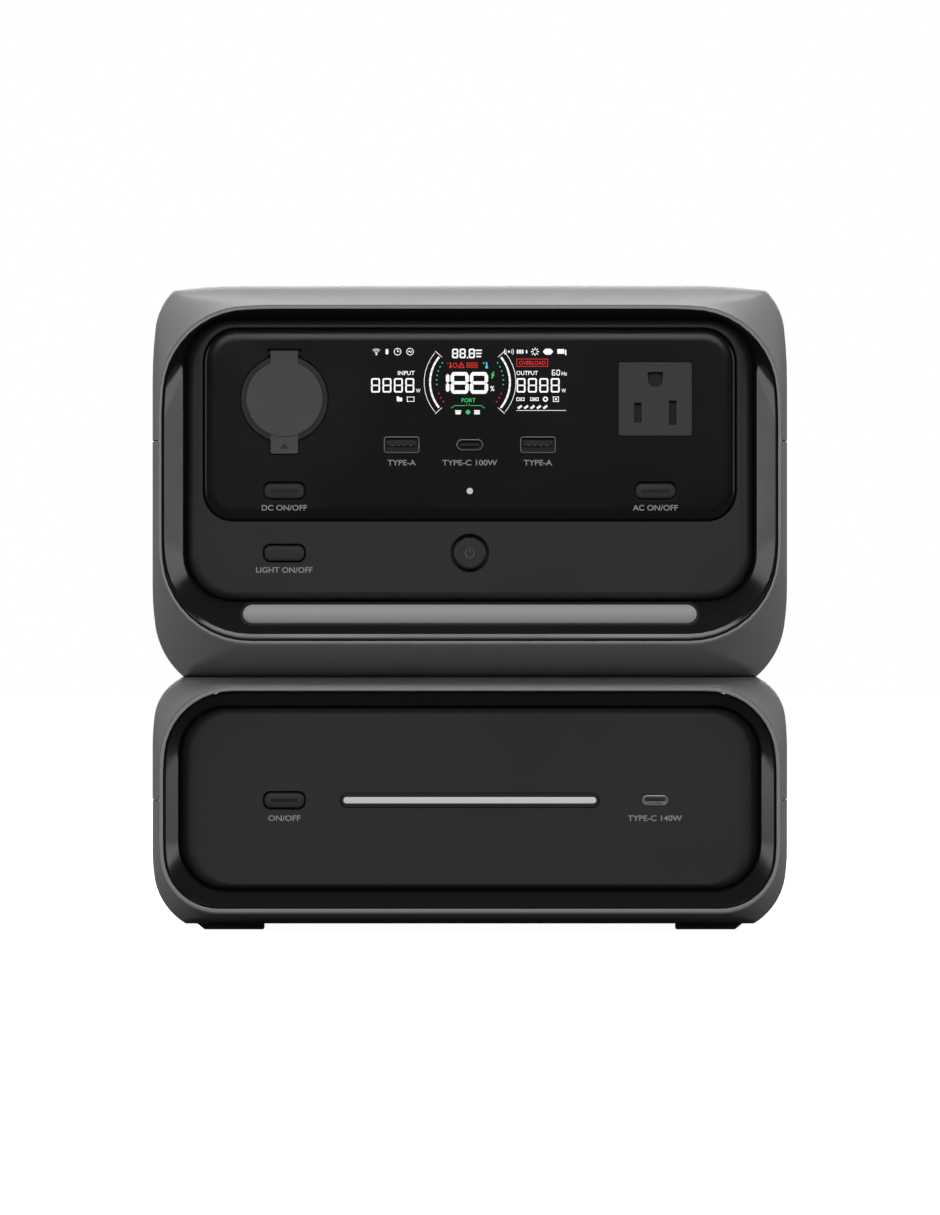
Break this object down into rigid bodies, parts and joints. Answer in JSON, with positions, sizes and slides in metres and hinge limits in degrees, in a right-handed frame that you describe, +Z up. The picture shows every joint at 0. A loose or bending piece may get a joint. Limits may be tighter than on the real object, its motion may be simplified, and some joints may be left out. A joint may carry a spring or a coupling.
{
  "type": "power station",
  "caption": "Portable power station docked on an extra battery module, with a display, sockets, ports, a hinged socket cover, push buttons, a light bar and a carry handle.",
  "frame": {"origin": "on the floor under the middle of the footprint", "axes": "+X to the object's right seen from the front, +Y from the front panel towards the back, +Z up"},
  "size_m": [0.2346, 0.232, 0.2381],
  "materials": {
    "shell_grey": "fine satin texture, mid grey",
    "bezel_gloss": "polished black",
    "panel_matte": "matte near-black",
    "cover_gloss": "smoked gloss black",
    "button_matte": "satin dark grey",
    "flap_rubber": "soft matte grey",
    "pad_rubber": "ribbed matte black",
    "outlet_plastic": "matte dark grey",
    "port_steel": "nickel plated",
    "tongue_plastic": "moulded black",
    "lamp_white": "translucent white",
    "light_lens": "frosted",
    "screen": "display glass",
    "board_green": "solder mask",
    "cell_can": "blue wrap on a metal can",
    "holder_plastic": "moulded black",
    "nickel_strip": "plated strip",
    "brass_contact": "stamped brass",
    "steel_zinc": "zinc plated",
    "heat_sink_metal": "extruded",
    "fan_plastic": "moulded black",
    "power_parts": "varnished windings and sleeved cans",
    "socket_black": "moulded black",
    "breaker_grey": "moulded dark grey"
  },
  "bodies": {
    "battery": {"battery_base_shell": "shell_grey", "battery_top_shell": "shell_grey", "battery_front_bezel": "bezel_gloss", "battery_front_panel": "panel_matte", "battery_status_bar": "lamp_white", "battery_bar_frame": "socket_black", "battery_usb_c_shell": "port_steel", "battery_usb_c_tongue": "tongue_plastic", "battery_feet": "shell_grey", "battery_rear_panel": "panel_matte", "dock_plug": "socket_black", "dock_blades": "brass_contact", "battery_cells": "cell_can", "battery_cell_holder": "holder_plastic", "battery_busbars": "nickel_strip", "battery_management_board": "board_green", "battery_screws": "steel_zinc"},
    "dock_lock": {"lock_plate": "steel_zinc", "lock_tab": "button_matte"},
    "station": {"station_bottom_shell": "shell_grey", "station_top_shell": "shell_grey", "handle_grip_pad": "pad_rubber", "station_front_bezel": "bezel_gloss", "station_front_panel": "panel_matte", "display_cover": "cover_gloss", "lcd_module": "screen", "status_lamp": "lamp_white", "light_bar_lens": "light_lens", "usb_shells": "port_steel", "usb_tongues": "tongue_plastic", "dc_socket_barrel": "socket_black", "dc_cover_hinge_pin": "steel_zinc", "ac_outlet_front": "outlet_plastic", "ac_outlets_rear": "outlet_plastic", "socket_contacts": "brass_contact", "rear_lining": "panel_matte", "rear_panel": "panel_matte", "rear_inlets": "socket_black", "rear_inlet_pins": "brass_contact", "side_vents": "fan_plastic", "fan_frames": "fan_plastic", "station_cells": "cell_can", "station_cell_holder": "holder_plastic", "station_busbars": "nickel_strip", "station_boards": "board_green", "inverter_power_parts": "power_parts", "heat_sink": "heat_sink_metal", "station_feet": "pad_rubber", "lock_studs": "steel_zinc", "dock_socket": "socket_black", "station_screws": "steel_zinc"},
    "battery_button": {"battery_button": "button_matte"},
    "dc_button": {"dc_button": "button_matte"},
    "ac_button": {"ac_button": "button_matte"},
    "light_button": {"light_button": "button_matte"},
    "power_button": {"power_button": "button_matte"},
    "dc_socket_cover": {"dc_socket_cover": "flap_rubber"},
    "fan_right": {"fan_rotor_right": "fan_plastic"},
    "fan_left": {"fan_rotor_left": "fan_plastic"},
    "breaker_button": {"breaker_button": "breaker_grey"}
  },
  "joints": [
    {"name": "station_lift", "type": "slide", "parent": "battery", "child": "station", "axis": [0, 0, 1], "range_m": [0, 0.09]},
    {"name": "dock_lock_slide", "type": "slide", "parent": "battery", "child": "dock_lock", "axis": [1, 0, 0], "range_m": [0, 0.008]},
    {"name": "battery_button_press", "type": "slide", "parent": "battery", "child": "battery_button", "axis": [0, 1, 0], "range_m": [0, 0.0011], "stiffness_N_per_m": 600, "springref_m": -0.0015},
    {"name": "dc_button_press", "type": "slide", "parent": "station", "child": "dc_button", "axis": [0, 1, 0], "range_m": [0, 0.0011], "stiffness_N_per_m": 600, "springref_m": -0.0015},
    {"name": "ac_button_press", "type": "slide", "parent": "station", "child": "ac_button", "axis": [0, 1, 0], "range_m": [0, 0.0011], "stiffness_N_per_m": 600, "springref_m": -0.0015},
    {"name": "light_button_press", "type": "slide", "parent": "station", "child": "light_button", "axis": [0, 1, 0], "range_m": [0, 0.0011], "stiffness_N_per_m": 600, "springref_m": -0.0015},
    {"name": "power_button_press", "type": "slide", "parent": "station", "child": "power_button", "axis": [0, 1, 0], "range_m": [0, 0.0011], "stiffness_N_per_m": 600, "springref_m": -0.0015},
    {"name": "breaker_button_press", "type": "slide", "parent": "station", "child": "breaker_button", "axis": [0, -1, 0], "range_m": [0, 0.0008], "stiffness_N_per_m": 600, "springref_m": -0.0015},
    {"name": "dc_cover_hinge", "type": "hinge", "parent": "station", "child": "dc_socket_cover", "pos_m": [-0.0683, -0.111, 0.2124], "axis": [-1, 0, 0], "range_deg": [0, 100]},
    {"name": "right_fan_spin", "type": "hinge", "parent": "station", "child": "fan_right", "pos_m": [0.1065, 0.03, 0.152], "axis": [1, 0, 0], "continuous": true},
    {"name": "left_fan_spin", "type": "hinge", "parent": "station", "child": "fan_left", "pos_m": [-0.1065, 0.03, 0.152], "axis": [-1, 0, 0], "continuous": true}
  ]
}
